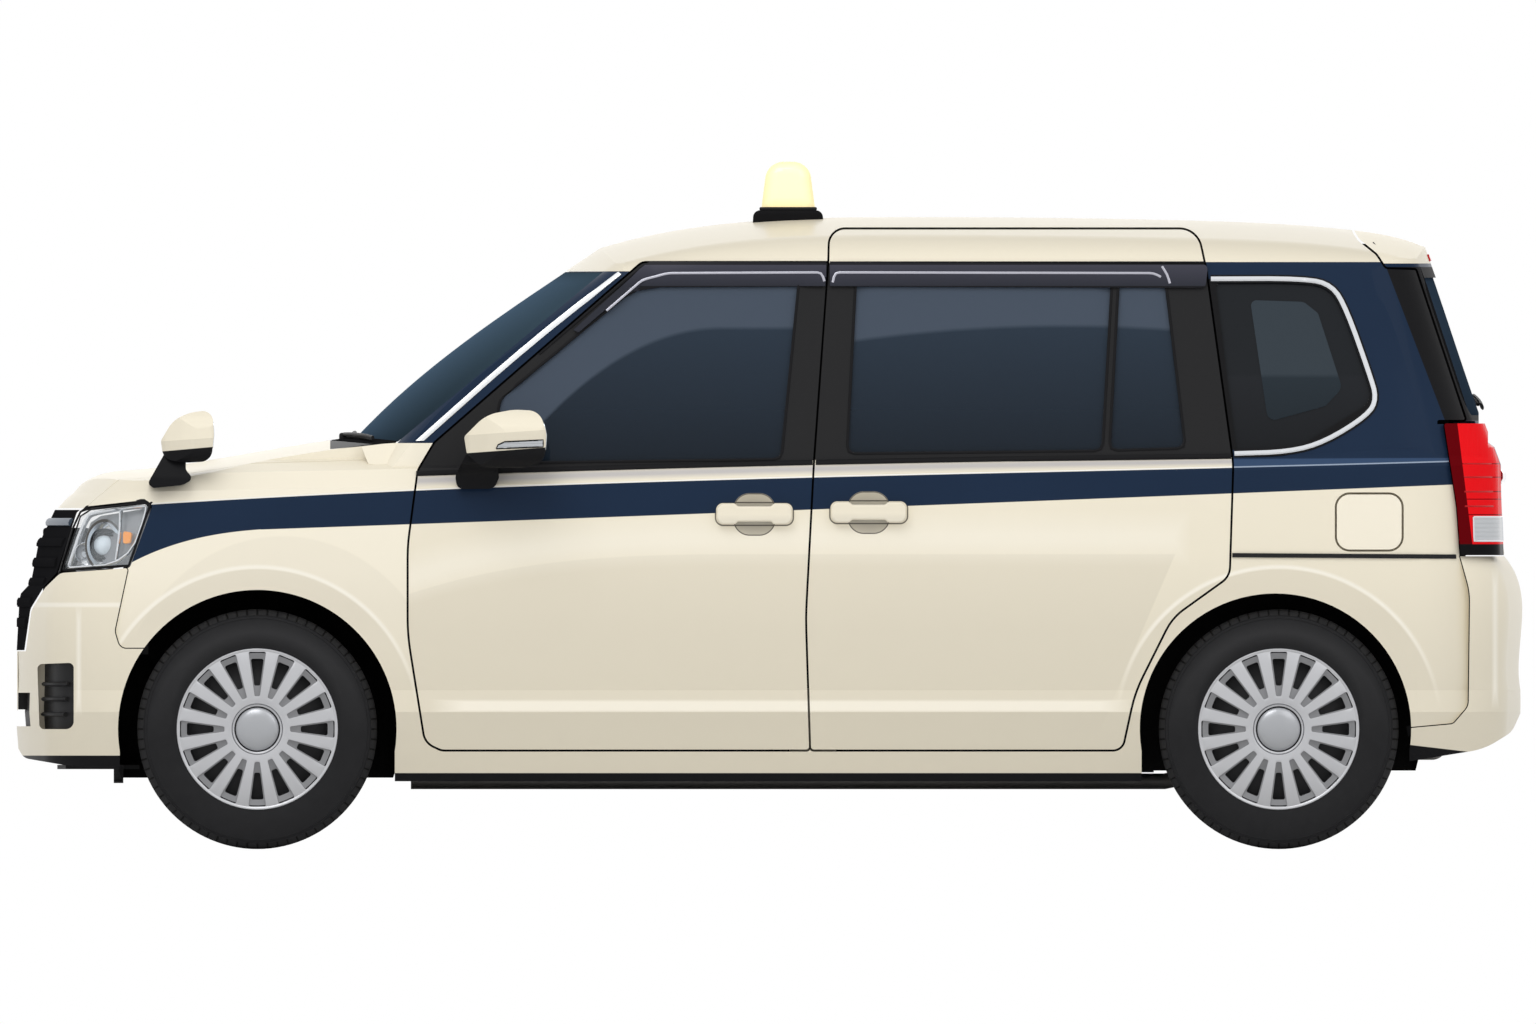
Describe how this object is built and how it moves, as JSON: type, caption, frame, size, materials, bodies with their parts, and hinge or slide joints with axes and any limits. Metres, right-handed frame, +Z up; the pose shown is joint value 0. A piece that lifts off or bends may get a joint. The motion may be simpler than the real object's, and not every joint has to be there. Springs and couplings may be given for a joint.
{
  "type": "taxi cab",
  "caption": "Compact tall taxi cab with hinged front doors, sliding rear doors, lifting tailgate, wing and door mirrors and a lit roof sign.",
  "frame": {"origin": "on the ground, under the centre of the car's bounding box", "axes": "+X forward along the car, +Y to the car's left, +Z up"},
  "size_m": [4.2157, 2.0622, 1.926],
  "materials": {
    "paint": "gloss cream paint",
    "glass": "tinted",
    "black_trim": "grained black",
    "lamp_clear": "clear lens",
    "lamp_red": "red lens",
    "lamp_dome": "translucent warm white",
    "tyre": "black rubber",
    "wheel_silver": "silver paint",
    "steel": "dark steel",
    "seat": "dark woven",
    "cabin_trim": "dark grey",
    "plate": "blank white"
  },
  "bodies": {
    "body": {"cowl": "black_trim", "bumper_inserts": "black_trim", "nose_tray": "black_trim", "plate_front": "plate", "exhaust": "steel", "floor_pan": "steel", "body_side_left": "paint", "body_side_right": "paint", "roof_panel": "paint", "fender_left": "paint", "fender_right": "paint", "front_bumper": "paint", "grille": "black_trim", "headlamps": "lamp_clear", "windscreen": "glass", "sliding_doors": "paint", "sliding_door_glass": "glass", "quarter_glass": "glass", "tail_lamps": "lamp_red", "rear_bumper": "paint", "rear_axle": "steel", "front_subframe": "steel", "engine_block": "steel", "dashboard": "cabin_trim", "front_seats": "seat", "rear_bench": "seat", "roof_lamp_base": "black_trim", "roof_lamp_dome": "lamp_dome", "fender_mirrors": "paint"},
    "door_left": {"door_front_left": "paint", "glass_front_left": "glass", "door_mirror_left": "paint"},
    "door_right": {"door_front_right": "paint", "glass_front_right": "glass", "door_mirror_right": "paint"},
    "hood": {"hood": "paint"},
    "tailgate": {"tailgate": "paint", "tailgate_glass": "glass", "plate_rear": "plate"},
    "fuel_flap": {"fuel_flap": "paint"},
    "knuckle_left": {"knuckle_left": "steel"},
    "knuckle_right": {"knuckle_right": "steel"},
    "wheel_front_left": {"tyre_front_left": "tyre", "wheel_front_left": "wheel_silver"},
    "wheel_front_right": {"tyre_front_right": "tyre", "wheel_front_right": "wheel_silver"},
    "wheel_rear_left": {"tyre_rear_left": "tyre", "wheel_rear_left": "wheel_silver"},
    "wheel_rear_right": {"tyre_rear_right": "tyre", "wheel_rear_right": "wheel_silver"},
    "steering_wheel": {"steering_wheel": "cabin_trim"}
  },
  "joints": [
    {"name": "door_left_hinge", "type": "hinge", "parent": "body", "child": "door_left", "pos_m": [1.005, 0.838, 0.7], "axis": [0, 0, -1], "range_deg": [0, 65]},
    {"name": "door_right_hinge", "type": "hinge", "parent": "body", "child": "door_right", "pos_m": [1.005, -0.838, 0.7], "axis": [0, 0, 1], "range_deg": [0, 65]},
    {"name": "hood_hinge", "type": "hinge", "parent": "body", "child": "hood", "pos_m": [1.098, 0, 1.136], "axis": [0, -1, 0], "range_deg": [0, 50]},
    {"name": "tailgate_hinge", "type": "hinge", "parent": "body", "child": "tailgate", "pos_m": [-1.64, 0, 1.733], "axis": [0, 1, 0], "range_deg": [0, 80]},
    {"name": "fuel_flap_hinge", "type": "hinge", "parent": "body", "child": "fuel_flap", "pos_m": [-1.59, 0.822, 0.916], "axis": [0, 0, -1], "range_deg": [0, 85]},
    {"name": "steer_left", "type": "hinge", "parent": "body", "child": "knuckle_left", "pos_m": [1.43, 0.715, 0.336], "axis": [0, 0, 1], "range_deg": [-35, 35]},
    {"name": "steer_right", "type": "hinge", "parent": "body", "child": "knuckle_right", "pos_m": [1.43, -0.715, 0.336], "axis": [0, 0, 1], "range_deg": [-35, 35]},
    {"name": "steering_wheel_turn", "type": "hinge", "parent": "body", "child": "steering_wheel", "pos_m": [0.6, -0.36, 1], "axis": [-0.9063, 0, 0.4226], "range_deg": [-525, 525]},
    {"name": "wheel_front_left_spin", "type": "hinge", "parent": "knuckle_left", "child": "wheel_front_left", "pos_m": [1.43, 0.715, 0.336], "axis": [0, 1, 0], "continuous": true},
    {"name": "wheel_front_right_spin", "type": "hinge", "parent": "knuckle_right", "child": "wheel_front_right", "pos_m": [1.43, -0.715, 0.336], "axis": [0, 1, 0], "continuous": true},
    {"name": "wheel_rear_left_spin", "type": "hinge", "parent": "body", "child": "wheel_rear_left", "pos_m": [-1.43, 0.715, 0.336], "axis": [0, 1, 0], "continuous": true},
    {"name": "wheel_rear_right_spin", "type": "hinge", "parent": "body", "child": "wheel_rear_right", "pos_m": [-1.43, -0.715, 0.336], "axis": [0, 1, 0], "continuous": true}
  ],
  "couplings": [
    {"joint": "steer_right", "follows": "steer_left", "ratio": 1},
    {"joint": "steering_wheel_turn", "follows": "steer_left", "ratio": 15}
  ]
}
